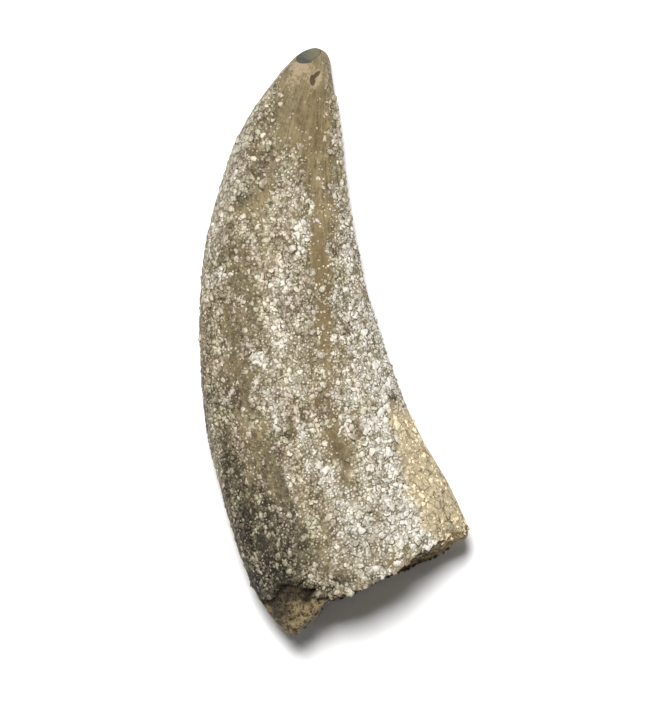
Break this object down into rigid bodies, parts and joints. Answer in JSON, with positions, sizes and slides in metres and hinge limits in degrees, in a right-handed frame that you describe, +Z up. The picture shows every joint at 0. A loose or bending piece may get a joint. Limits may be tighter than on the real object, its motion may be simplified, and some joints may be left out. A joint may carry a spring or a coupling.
{
  "type": "fossil theropod tooth",
  "caption": "Long, slightly recurved fossil tooth crown lying on its side, with a worn tip, a finely serrated distal edge and a rough broken base with a dentine lobe.",
  "frame": {"origin": "on the surface the tooth rests on, below the middle of its bounding box", "axes": "+Y from the broken base towards the tip, +X towards the serrated distal edge at the base, +Z up through the labial face"},
  "size_m": [0.0162, 0.0354, 0.0072],
  "materials": {
    "fossil_enamel": "mineralised brown enamel under a granular cream crust, matt with a faint polish near the tip"
  },
  "bodies": {
    "root": {"tooth": "fossil_enamel"}
  },
  "joints": []
}
